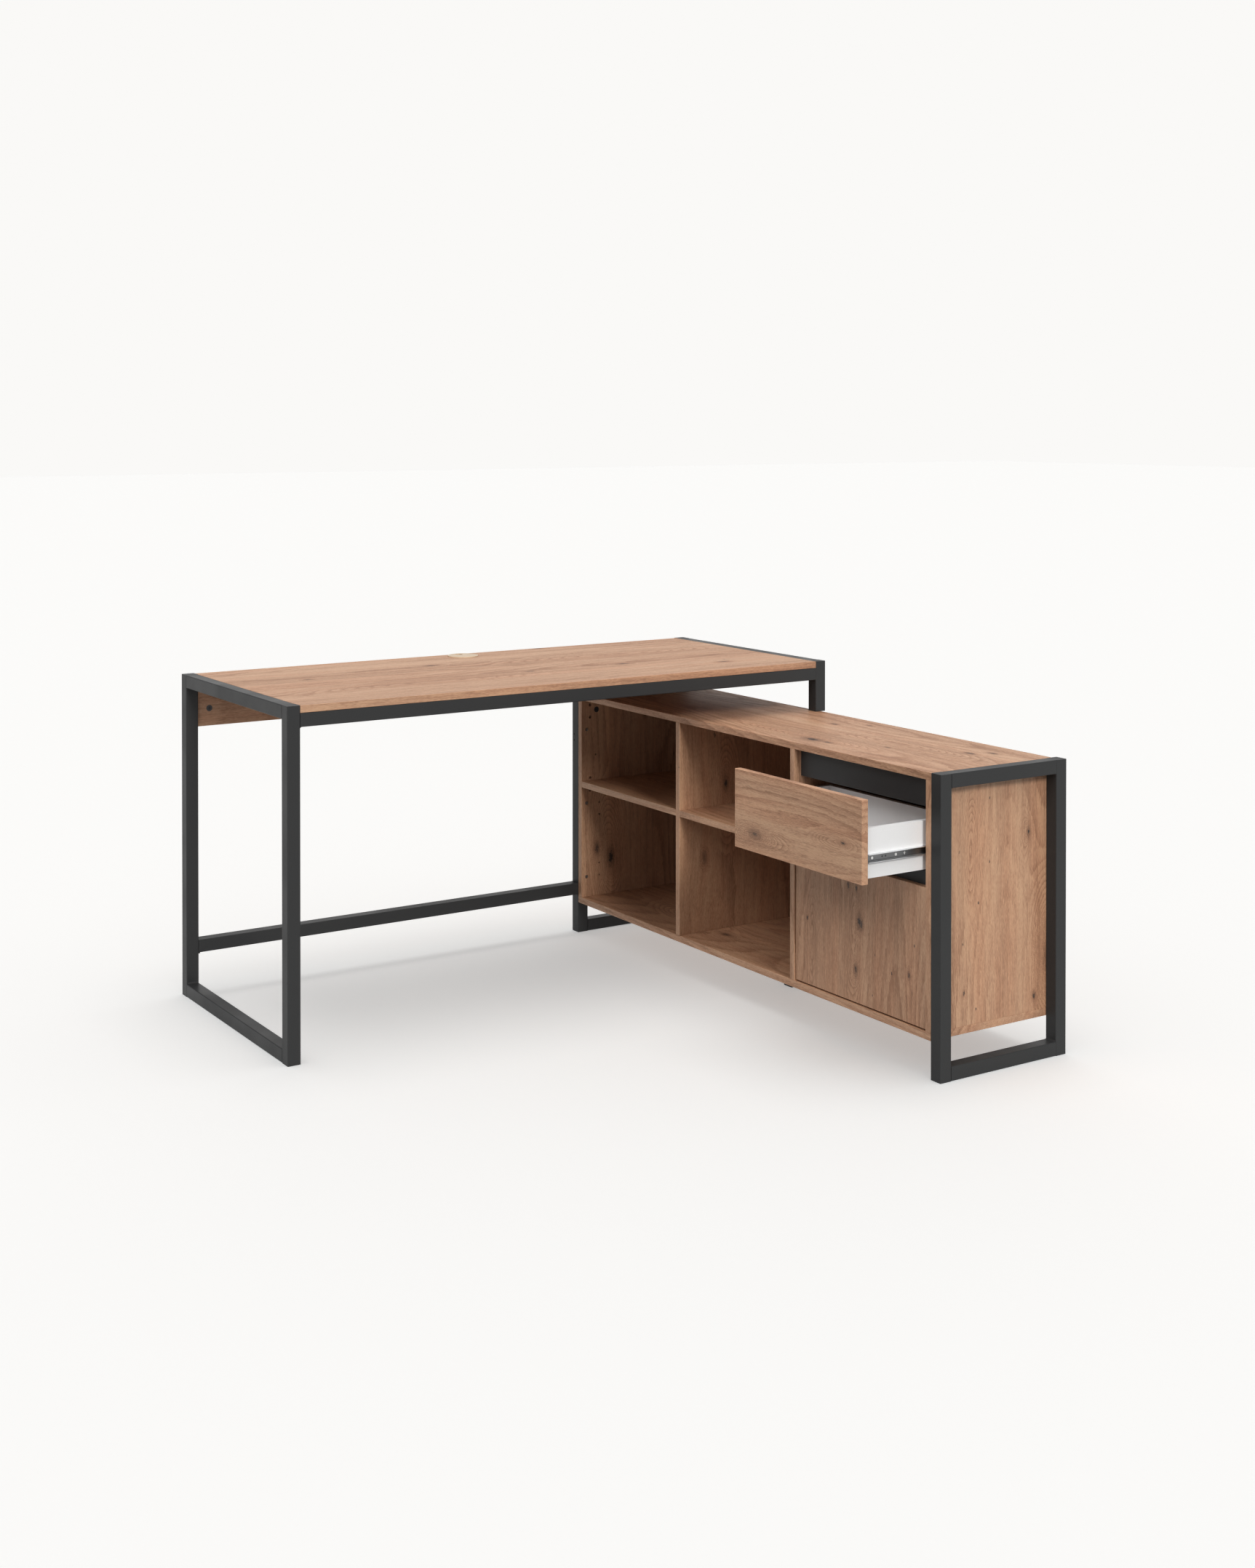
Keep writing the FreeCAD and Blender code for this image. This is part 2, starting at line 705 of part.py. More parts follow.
def slide_side(wall, sign, case_panel, drawer_side):
    """One ball-bearing slide; sign points from the wall of the bay towards the drawer."""
    drawer_start = slide_start - drawer_open
    drawer_x = (drawer_start, drawer_start + slide_length)
    case_x = (slide_start, slide_start + slide_length)
    drawer_plane = wall + sign * slide_width
    add("slide_drawer_members",
        channel(drawer_x, drawer_plane, wall + sign * slide_outer_lip, slide_height / 2, slide_sheet))
    add("slide_case_members",
        channel(case_x, wall, wall + sign * slide_inner_depth, slide_inner_height / 2, slide_sheet))

    track = slide_height / 2 - slide_sheet
    row = (track + slide_inner_height / 2) / 2
    web_plane = drawer_plane - sign * (slide_sheet + cage_web_gap)
    cage_lip = wall + sign * (slide_outer_lip + cage_lip_gap)
    middle = (case_x[0] + drawer_x[1]) / 2
    cage_x = (middle - cage_length / 2, middle + cage_length / 2)
    half = row + cage_arm / 2
    outer = span_box(cage_x, sorted((web_plane, cage_lip)), (slide_level - half, slide_level + half))
    hollow = span_box(cage_x, sorted((web_plane - sign * cage_sheet, cage_lip)),
                      (slide_level - half + cage_arm, slide_level + half - cage_arm))
    cage = outer.cut(hollow)
    ball_y = wall + sign * (slide_inner_depth + slide_outer_lip) / 2
    pitch = cage_length / balls_per_row
    for index in range(balls_per_row):
        x = cage_x[0] + (index + 0.5) * pitch
        for side in (-1, 1):
            centre = FreeCAD.Vector(x, ball_y, slide_level + side * row)
            hole = rod("z", centre, centre.z - cage_arm, centre.z + cage_arm, ball_radius + ball_play)
            cage = cage.cut(hole)
            add("slide_cages", Part.makeSphere(ball_radius, centre))
    add("slide_cages", cage)

    for index in range(2):
        offset = index * slide_screw_pitch
        at = (slide_start + slide_screw_first + offset, wall + sign * slide_sheet, slide_level)
        screw = small_screw("y", at, -sign, case_slide_screw)
        seat("case_screws", ["slide_case_members", case_panel], screw)
        x = drawer_start + slide_screw_first - slide_screw_step + offset
        at = (x, drawer_plane - sign * slide_sheet, slide_level)
        screw = small_screw("y", at, sign, drawer_slide_screw)
        seat("drawer_screws", ["slide_drawer_members", drawer_side], screw)


def make_slides():
    """The slides on both sides of the drawer."""
    slide_side(near_bay[0], 1, "side_panel_near", "drawer_side_near")
    slide_side(near_bay[1], -1, "partition_near", "drawer_side_far")


# ---- door ----
def prism_z(points, low, high):
    """A prism between two heights over a flat outline."""
    corners = [FreeCAD.Vector(x, y, low) for x, y in points]
    face = Part.Face(Part.makePolygon(corners + corners[:1]))
    return face.extrude(FreeCAD.Vector(0, 0, high - low))


def make_hinge(height):
    """One concealed hinge: a cup in the door, and an arm on a plate on the near side panel."""
    cup_y = front_span[0] + cup_inset
    at = (front_back, cup_y, height)
    drill("door", rod("x", at, front_back - cup_depth, front_back, cup_radius))
    cup = rod("x", at, front_back - cup_depth, front_back, cup_radius)
    cup = cup.fuse(rod("x", at, front_back, front_back + cup_flange, cup_radius + cup_flange_overlap))
    hollow = rod("x", at, front_back - cup_depth + cup_wall, front_back + cup_flange, cup_radius - cup_wall)
    add("hinge_cups", cup.cut(hollow))

    wall = near_bay[0]
    plate_x = case_front + hinge_plate_setback
    root = wall + hinge_plate
    plate = span_box((plate_x - hinge_plate_fore, plate_x + hinge_plate_aft), (wall, root),
                     (height - hinge_plate_half, height + hinge_plate_half))
    wing = hinge_screw_span / 2 + hinge_screw_margin
    wings = span_box((plate_x - hinge_plate_half, plate_x + hinge_plate_half), (wall, root),
                     (height - wing, height + wing))
    add("hinge_plates", plate.fuse(wings).removeSplitter())
    for side in (-1, 1):
        at = (plate_x, root, height + side * hinge_screw_span / 2)
        screw = small_screw("y", at, -1, hinge_screw)
        seat("case_screws", ["hinge_plates", "side_panel_near"], screw)

    fore = plate_x - hinge_plate_fore + hinge_arm_margin
    aft = plate_x + hinge_plate_aft - hinge_arm_margin
    rise = root + hinge_arm_rise
    outline = [(fore, root), (aft, root), (aft, rise), (fore, rise)]
    outline += [(front_back + x, cup_y + y) for x, y in hinge_hook]
    add("hinge_arms", prism_z(outline, height - hinge_arm_half, height + hinge_arm_half))


def make_door():
    """The door under the drawer, hung on the near side panel."""
    door_z = (case_base + front_bottom_gap, door_top)
    add("door", panel((front_face, front_back), front_span, door_z))
    for height in hinge_heights:
        make_hinge(height)


# ---- cable outlet ----
def make_cable_outlet():
    """The round outlet in the desk top: a flanged sleeve and a turning lid with a notch for cables."""
    x = left + grommet_from_left
    y = desk_front + grommet_from_front
    at = (x, y, 0)
    sleeve_top = desk_height + outlet_flange
    recess_floor = sleeve_top - outlet_recess
    inner = outlet_bore_radius - outlet_wall
    drill("desk_top", rod("z", at, desk_under, desk_height, outlet_bore_radius))
    flange = rod("z", at, desk_height, sleeve_top, outlet_flange_radius)
    rim = [edge for edge in flange.Edges if edge.BoundBox.ZMin > sleeve_top - 0.01]
    flange = flange.makeFillet(outlet_rim, rim)
    sleeve = flange.fuse(rod("z", at, desk_under, desk_height, outlet_bore_radius))
    sleeve = sleeve.cut(rod("z", at, desk_under, sleeve_top, inner))
    sleeve = sleeve.cut(rod("z", at, recess_floor, sleeve_top, lid_radius + lid_play))
    add("outlet_sleeve", sleeve)

    disc = rod("z", at, recess_floor, recess_floor + lid_disc, lid_radius)
    skirt_radius = inner - lid_play
    skirt = rod("z", at, recess_floor - lid_skirt, recess_floor, skirt_radius)
    skirt = skirt.cut(rod("z", at, recess_floor - lid_skirt, recess_floor, skirt_radius - lid_skirt_wall))
    lid = disc.fuse(skirt)
    half = lid_notch_width / 2
    notch = span_box((x - half, x + half), (y + lid_notch_start, y + outlet_flange_radius),
                     (recess_floor - lid_skirt, sleeve_top))
    add("outlet_lid", lid.cut(notch))


make_left_frame()
make_right_frame()
make_end_frame("near", near, True)
make_end_frame("far", back - tube, False)
make_long_rails()
centre = make_centre_leg()
make_desk_boards()
make_carcass()
make_fascias()
make_tube_joints(*centre)
make_cams()
make_dowels()
make_frame_bolts()
make_long_screws()
make_back_nails()
make_drawer()
make_slides()
make_door()
make_cable_outlet()
make_spare_holes()

for node, solids in nodes.items():
    shape = solids[0] if len(solids) == 1 else Part.makeCompound(solids)
    shape.exportStep("parts/" + node + ".step")
    print(node, len(solids), [round(value, 1) for value in (shape.BoundBox.XMin, shape.BoundBox.YMin,
                                                            shape.BoundBox.ZMin, shape.BoundBox.XMax,
                                                            shape.BoundBox.YMax, shape.BoundBox.ZMax)])
print(len(nodes), "nodes,", sum(len(solids) for solids in nodes.values()), "solids")
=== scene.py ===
import json
import math

import bmesh
import bpy
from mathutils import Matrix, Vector


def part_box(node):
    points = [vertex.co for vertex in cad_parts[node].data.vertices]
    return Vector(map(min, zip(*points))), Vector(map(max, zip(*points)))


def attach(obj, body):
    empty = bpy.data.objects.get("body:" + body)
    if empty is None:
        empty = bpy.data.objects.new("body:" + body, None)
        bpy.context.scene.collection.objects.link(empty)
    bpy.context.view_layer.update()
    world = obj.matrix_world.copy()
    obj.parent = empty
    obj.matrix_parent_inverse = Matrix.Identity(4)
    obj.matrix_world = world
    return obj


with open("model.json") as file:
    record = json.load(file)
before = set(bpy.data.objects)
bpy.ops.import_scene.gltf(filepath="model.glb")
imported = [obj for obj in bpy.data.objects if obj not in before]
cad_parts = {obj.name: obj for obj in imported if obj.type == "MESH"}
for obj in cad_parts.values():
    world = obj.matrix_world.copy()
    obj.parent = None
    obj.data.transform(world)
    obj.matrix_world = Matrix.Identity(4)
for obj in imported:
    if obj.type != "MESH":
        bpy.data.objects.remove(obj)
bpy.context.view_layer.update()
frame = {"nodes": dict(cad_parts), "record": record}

BODY = "case_and_frame"
AXIS = {"x": 0, "y": 1, "z": 2}


# ---- material building ----
class Graph:
    """One material's nodes. Each method adds a node and returns its output socket."""

    def __init__(self, name, roughness=0.5, metallic=0.0, specular=0.5):
        self.material = bpy.data.materials.new(name)
        self.material.use_nodes = True
        self.nodes = self.material.node_tree.nodes
        self.links = self.material.node_tree.links
        self.shader = self.nodes["Principled BSDF"]
        self.shader.inputs["Roughness"].default_value = roughness
        self.shader.inputs["Metallic"].default_value = metallic
        self.shader.inputs["Specular IOR Level"].default_value = specular

    def feed(self, socket, value):
        if isinstance(value, bpy.types.NodeSocket):
            self.links.new(value, socket)
        elif value is not None:
            socket.default_value = value

    def position(self):
        return self.nodes.new("ShaderNodeTexCoord").outputs["Object"]

    def placed(self, vector, scale=(1, 1, 1), shift=(0, 0, 0)):
        node = self.nodes.new("ShaderNodeMapping")
        node.inputs["Scale"].default_value = scale
        node.inputs["Location"].default_value = shift
        self.feed(node.inputs["Vector"], vector)
        return node.outputs["Vector"]

    def noise(self, vector, scale=1.0, detail=2.0, roughness=0.5, distortion=0.0):
        node = self.nodes.new("ShaderNodeTexNoise")
        self.feed(node.inputs["Vector"], vector)
        node.inputs["Scale"].default_value = scale
        node.inputs["Detail"].default_value = detail
        node.inputs["Roughness"].default_value = roughness
        node.inputs["Distortion"].default_value = distortion
        return node.outputs["Fac"]

    def cells(self, vector, scale=1.0):
        """Distance to the nearest random point, and that point's random colour."""
        node = self.nodes.new("ShaderNodeTexVoronoi")
        self.feed(node.inputs["Vector"], vector)
        node.inputs["Scale"].default_value = scale
        return node.outputs["Distance"], node.outputs["Color"]

    def maths(self, operation, first, second=None, third=None, clamp=False):
        node = self.nodes.new("ShaderNodeMath")
        node.operation = operation
        node.use_clamp = clamp
        for socket, value in zip(node.inputs, (first, second, third)):
            self.feed(socket, value)
        return node.outputs["Value"]

    def vector(self, operation, first, second=None):
        node = self.nodes.new("ShaderNodeVectorMath")
        node.operation = operation
        self.feed(node.inputs[0], first)
        self.feed(node.inputs[1], second)
        return node.outputs["Value"] if operation == "LENGTH" else node.outputs["Vector"]

    def combine(self, values):
        node = self.nodes.new("ShaderNodeCombineXYZ")
        for socket, value in zip(node.inputs, values):
            self.feed(socket, value)
        return node.outputs["Vector"]

    def split(self, vector):
        node = self.nodes.new("ShaderNodeSeparateXYZ")
        self.feed(node.inputs["Vector"], vector)
        return [node.outputs[name] for name in "XYZ"]

    def span(self, value, low, high, start=0.0, end=1.0):
        """Maps low..high to start..end with soft ends."""
        node = self.nodes.new("ShaderNodeMapRange")
        node.interpolation_type = "SMOOTHSTEP"
        self.feed(node.inputs["Value"], value)
        node.inputs["From Min"].default_value = low
        node.inputs["From Max"].default_value = high
        node.inputs["To Min"].default_value = start
        node.inputs["To Max"].default_value = end
        return node.outputs["Result"]

    def ramp(self, value, stops):
        node = self.nodes.new("ShaderNodeValToRGB")
        self.feed(node.inputs["Fac"], value)
        elements = node.color_ramp.elements
        while len(elements) < len(stops):
            elements.new(0.5)
        for element, (place, colour) in zip(elements, stops):
            element.position = place
            element.color = (*colour, 1.0)
        return node.outputs["Color"]

    def mix(self, factor, first, second, blend="MIX"):
        node = self.nodes.new("ShaderNodeMix")
        node.data_type = "RGBA"
        node.blend_type = blend
        self.feed(node.inputs[0], factor)
        for socket, value in ((node.inputs[6], first), (node.inputs[7], second)):
            self.feed(socket, (*value, 1.0) if isinstance(value, tuple) else value)
        return node.outputs[2]

    def bump(self, height, strength, distance):
        node = self.nodes.new("ShaderNodeBump")
        node.inputs["Strength"].default_value = strength
        node.inputs["Distance"].default_value = distance
        self.feed(node.inputs["Height"], height)
        self.links.new(node.outputs["Normal"], self.shader.inputs["Normal"])

    def finish(self, colour, roughness=None):
        self.feed(self.shader.inputs["Base Color"], colour)
        self.feed(self.shader.inputs["Roughness"], roughness)
        return self.material


def at(node, share):
    """A point inside a node's box, as shares of its sides."""
    low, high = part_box(node)
    return tuple(low[i] + (high[i] - low[i]) * share[i] for i in range(3))


# ---- wood ----
OAK_PALE = (0.590, 0.385, 0.245)
OAK_MID = (0.494, 0.296, 0.186)
OAK_DEEP = (0.330, 0.178, 0.102)
OAK_LINE = (0.190, 0.100, 0.056)
KNOT = (0.030, 0.018, 0.013)
OAK_BLUSH = (1.03, 0.93, 0.88)
# darkens and warms the back's print as painted shade for the backs of the bays
HARDBOARD_SHADE_TINT = (0.52, 0.46, 0.37)
RINGS = 22.0
# how strongly each layer of the print darkens the wood, from the widest streaks to the finest
LAYER_WEIGHTS = {"bands": 0.50, "stripes": 0.50, "fibres": 0.58, "flecks": 1.00, "mottle": 0.20}
LINE_WEIGHT = 0.46


def along(grain, run, across):
    """A scale triple with one value along the grain and another across it."""
    return tuple(run if name == grain else across for name in "xyz")


def add_knots(g, place, wobble, grain, knots):
    """Dark cores, and how far each point lies within the rings of the nearest knot, 0 to 1."""
    core = 0.0
    ring = 0.0
    for centre, radius, darkness, reach in knots:
        offset = g.vector("SUBTRACT", place, centre)
        stretched = g.vector("MULTIPLY", offset, along(grain, 0.52 / radius, 1.12 / radius))
        distance = g.maths("ADD", g.vector("LENGTH", stretched), wobble)
        core = g.maths("MAXIMUM", core, g.span(distance, 0.74, 0.84, darkness, 0.0))
        if reach:
            ring = g.maths("MAXIMUM", ring, g.span(distance, 0.8, reach, 1.0, 0.0))
    return core, ring


def add_figures(g, sway, place, grain, figures):
    """Rounded humps in the ring field, whose contour lines are the nested arches of flat-sawn oak."""
    total = 0.0
    for centre, half_length, half_width, height in figures:
        offset = g.vector("SUBTRACT", g.vector("ADD", place, sway), centre)
        stretched = g.vector("MULTIPLY", offset, along(grain, 1.0 / half_length, 1.0 / half_width))
        total = g.maths("ADD", total, g.span(g.vector("LENGTH", stretched), 1.0, 0.0, 0.0, height))
    return total


def oak(name, grain, seed, knots=(), figures=(), tint=None):
    """Oak-print laminate. grain is the axis it runs along.

    Each knot is its place and radius in metres, its darkness, and how many radii its rings reach.
    Each figure is its place, half length and half width in metres, and its height in ring widths.
    """
    g = Graph("oak_" + name, roughness=0.50, specular=1.0)
    place = g.position()
    moved = g.placed(place, shift=(seed * 1.37, seed * 0.71, seed * 2.13))

    ragged = g.noise(g.placed(moved, along(grain, 140.0, 300.0)), detail=3.0, roughness=0.8)
    core, ring = add_knots(g, place, g.maths("MULTIPLY_ADD", ragged, 2.8, -1.3), grain, knots)

    sway = g.noise(g.placed(moved, along(grain, 2.0, 4.0)), detail=1.0)
    shake = g.noise(g.placed(moved, along(grain, 9.0, 24.0)), detail=2.0)
    sway = g.maths("ADD", g.maths("MULTIPLY_ADD", sway, 0.040, -0.020), g.maths("MULTIPLY", shake, 0.0012))
    sway = g.combine([0.0 if axis == grain else sway for axis in "xyz"])
    bent = g.vector("ADD", moved, sway)

    # growth rings cut lengthways: contour lines of a long, smooth field, which close into pointed arches
    field = g.noise(g.placed(bent, along(grain, 0.75, 5.5)), detail=0.5, roughness=0.3)
    field = g.maths("MULTIPLY", field, RINGS)
    field = g.maths("ADD", field, g.maths("MULTIPLY", g.maths("POWER", ring, 1.6), 5.0))
    arches = add_figures(g, sway, place, grain, figures)
    field = g.maths("ADD", field, arches)
    teeth = g.noise(g.placed(moved, along(grain, 24.0, 420.0)), detail=2.0)
    line = g.maths("FRACT", g.maths("MULTIPLY_ADD", teeth, 0.60, field))
    line = g.maths("POWER", line, 2.5)
    strength = g.noise(g.placed(moved, along(grain, 1.1, 8.0), (5.3, 9.1, 2.7)), detail=1.0)
    strength = g.maths("MAXIMUM", g.span(strength, 0.38, 0.62, 0.10, 1.0), g.span(ring, 0.2, 0.7, 0.0, 1.4))
    strength = g.maths("MAXIMUM", strength, g.span(arches, 0.5, 3.0, 0.0, 1.15))
    line = g.maths("MULTIPLY", line, strength)

    broad = g.noise(g.placed(bent, along(grain, 0.6, 14.0)), detail=1.0)
    bands = g.noise(g.placed(bent, along(grain, 0.8, 60.0)), detail=2.0, roughness=0.6)
    stripes = g.noise(g.placed(bent, along(grain, 2.5, 260.0)), detail=2.0, roughness=0.6)
    fibres = g.noise(g.placed(bent, along(grain, 14.0, 560.0)), detail=2.0, roughness=0.7)
    flecks = g.noise(g.placed(bent, along(grain, 110.0, 1200.0), (2.3, 6.1, 4.9)), detail=1.0, roughness=0.6)
    mottle = g.noise(g.placed(moved, along(grain, 5.0, 12.0)), detail=3.0)

    # each layer is about zero on average, so the sum keeps the middle tone
    layers = {"bands": bands, "stripes": stripes, "fibres": fibres, "flecks": flecks, "mottle": mottle}
    shade = g.maths("MULTIPLY_ADD", broad, 0.50, 0.25)
    for layer, weight in LAYER_WEIGHTS.items():
        shade = g.maths("ADD", shade, g.maths("MULTIPLY_ADD", layers[layer], weight, -0.5 * weight))
    shade = g.maths("ADD", shade, g.maths("MULTIPLY_ADD", line, LINE_WEIGHT, -0.06))
    shade = g.maths("ADD", shade, g.maths("MULTIPLY", g.maths("POWER", ring, 2.0), 0.16))
    colour = g.ramp(shade, ((0.18, OAK_PALE), (0.50, OAK_MID), (0.92, OAK_DEEP)))

    pinkish = g.noise(g.placed(bent, along(grain, 0.9, 22.0), (3.1, 1.7, 5.9)), detail=1.0)
    colour = g.mix(g.span(pinkish, 0.40, 0.70, 0.0, 0.55), colour, OAK_BLUSH, "MULTIPLY")

    # open pores: short dark dashes, denser in the dark bands
    dashes = g.noise(g.placed(bent, along(grain, 32.0, 900.0)), detail=2.0, roughness=0.6)
    dashes = g.span(g.maths("MULTIPLY_ADD", bands, 0.30, dashes), 0.66, 0.86, 0.0, 0.42)
    colour = g.mix(dashes, colour, OAK_LINE)

    # sparse cracks along the grain, and pin knots
    crack = g.noise(g.placed(bent, along(grain, 22.0, 330.0), (7.7, 2.9, 4.3)), detail=2.0, roughness=0.6)
    where = g.noise(g.placed(moved, along(grain, 4.0, 12.0), (1.9, 8.3, 6.1)), detail=1.0)
    crack = g.maths("MULTIPLY", g.span(crack, 0.64, 0.72), g.span(where, 0.60, 0.70))
    pin, pick = g.cells(g.placed(moved, along(grain, 0.70, 1.0)), scale=12.0)
    pin = g.maths("MULTIPLY_ADD", ragged, 0.030, pin)
    chosen = g.span(g.split(pick)[0], 0.74, 0.75)
    pin_core = g.maths("MULTIPLY", g.span(pin, 0.030, 0.038, 0.85, 0.0), chosen)
    pin_halo = g.maths("MULTIPLY", g.span(pin, 0.03, 0.14, 0.22, 0.0), chosen)
    colour = g.mix(pin_halo, colour, OAK_DEEP)
    colour = g.mix(g.maths("MULTIPLY", crack, 0.70), colour, OAK_LINE)
    colour = g.mix(g.span(ring, 0.80, 1.0, 0.0, 0.60), colour, OAK_LINE)
    dark = g.maths("MAXIMUM", core, pin_core)
    colour = g.mix(dark, colour, KNOT)
    # a tint multiplies the whole print; on the back it is painted shade
    if tint:
        colour = g.mix(1.0, colour, tint, "MULTIPLY")

    relief = g.maths("SUBTRACT", g.maths("MULTIPLY", fibres, 0.5), g.maths("ADD", dashes, dark))
    g.bump(relief, 0.16, 0.0005)
    return g.finish(colour, g.span(shade, 0.2, 0.9, 0.50, 0.62))


# ---- other finishes ----
# the two web colours are painted shade, darker than the lips' bare steel
SLIDE_WEB_SHADE = (0.34, 0.345, 0.35)
SLIDE_WEB_DEEP_SHADE = (0.13, 0.13, 0.135)
SLIDE_LIP = (0.80, 0.81, 0.82)
# the height above the slide's middle at which the web's painted shade ends and the lip's bare steel begins
SLIDE_SHADE_EDGE = 0.0075
BEECH_DARK = (0.50, 0.34, 0.20)
BEECH_PALE = (0.66, 0.48, 0.31)


def powder_coat(name, colour):
    """Fine-textured matt powder coat on steel tube."""
    g = Graph(name, roughness=0.48, specular=0.40)
    place = g.position()
    grain = g.noise(place, scale=1400.0, detail=2.0)
    waves = g.noise(place, scale=260.0, detail=1.0)
    patch = g.noise(place, scale=9.0, detail=2.0)
    lighter = tuple(value * 1.22 for value in colour)
    g.bump(g.maths("ADD", grain, g.maths("MULTIPLY", waves, 0.7)), 0.22, 0.0004)
    tint = g.mix(g.maths("MULTIPLY_ADD", grain, 0.6, g.maths("MULTIPLY", patch, 0.4)), colour, lighter)
    return g.finish(tint, g.span(patch, 0.3, 0.7, 0.38, 0.48))


def smooth_laminate(name, colour, grain_scale, roughness):
    """Plain melamine or foil with a faint pearl texture."""
    g = Graph(name, roughness=roughness, specular=0.45)
    place = g.position()
    pearl = g.noise(place, scale=grain_scale, detail=3.0)
    cloud = g.noise(place, scale=6.0, detail=2.0)
    darker = tuple(value * 0.86 for value in colour)
    g.bump(pearl, 0.10, 0.0003)
    tint = g.mix(g.maths("MULTIPLY_ADD", pearl, 0.5, g.maths("MULTIPLY", cloud, 0.5)), darker, colour)
    return g.finish(tint, g.span(pearl, 0.3, 0.7, roughness - 0.05, roughness + 0.06))


def plated(name, colour, grain, roughness):
    """Zinc or nickel plated steel with drawn lines along one axis."""
    g = Graph(name, roughness=roughness, metallic=1.0)
    place = g.position()
    drawn = g.noise(g.placed(place, along(grain, 30.0, 2600.0)), detail=2.0)
    spangle = g.noise(place, scale=420.0, detail=2.0)
    darker = tuple(value * 0.72 for value in colour)
    g.bump(drawn, 0.12, 0.0002)
    tint = g.mix(g.maths("MULTIPLY_ADD", drawn, 0.5, g.maths("MULTIPLY", spangle, 0.5)), darker, colour)
    return g.finish(tint, g.span(spangle, 0.3, 0.7, roughness - 0.06, roughness + 0.10))


def slide_with_painted_shade(name, node):
    """A rolled steel slide: painted shade on its web, mottled by noise, between two bright lips of bare
    steel.
    """
    g = Graph(name, roughness=0.36, metallic=1.0)
    place = g.position()
    level = at(node, (0.5, 0.5, 0.5))[2]
    height = g.maths("ABSOLUTE", g.maths("SUBTRACT", g.split(place)[2], level))
    drawn = g.noise(g.placed(place, along("x", 30.0, 2600.0)), detail=2.0)
    patch = g.noise(g.placed(place, along("x", 18.0, 90.0)), detail=2.0)
    # painted shade on the web, mottled between two shade tones by noise
    web = g.mix(g.maths("MULTIPLY_ADD", drawn, 0.5, g.maths("MULTIPLY", patch, 0.5)), SLIDE_WEB_DEEP_SHADE, SLIDE_WEB_SHADE)
    g.bump(drawn, 0.12, 0.0002)
    return g.finish(g.mix(g.span(height, SLIDE_SHADE_EDGE - 0.0006, SLIDE_SHADE_EDGE), web, SLIDE_LIP))


def moulded(name, colour, roughness):
    """Moulded plastic with a fine spark-eroded texture."""
    g = Graph(name, roughness=roughness, specular=0.5)
    place = g.position()
    grain = g.noise(place, scale=2100.0, detail=1.0)
    cloud = g.noise(place, scale=40.0, detail=2.0)
    darker = tuple(value * 0.84 for value in colour)
    g.bump(grain, 0.14, 0.0002)
    tint = g.mix(cloud, darker, colour)
    return g.finish(tint, g.span(grain, 0.3, 0.7, roughness - 0.04, roughness + 0.06))


def turned_beech(name):
    """Raw dowel wood with short flecks."""
    g = Graph(name, roughness=0.7)
    place = g.position()
    fleck = g.noise(g.placed(place, (300.0, 300.0, 300.0)), detail=2.0)
    return g.finish(g.mix(fleck, BEECH_DARK, BEECH_PALE))


def hardboard_with_painted_shade(name):
    """The thin back's wood print, darkened and warmed by a tint that is painted shade for the deep backs of
    the bays.
    """
    return oak(name, "z", 31.0, tint=HARDBOARD_SHADE_TINT)


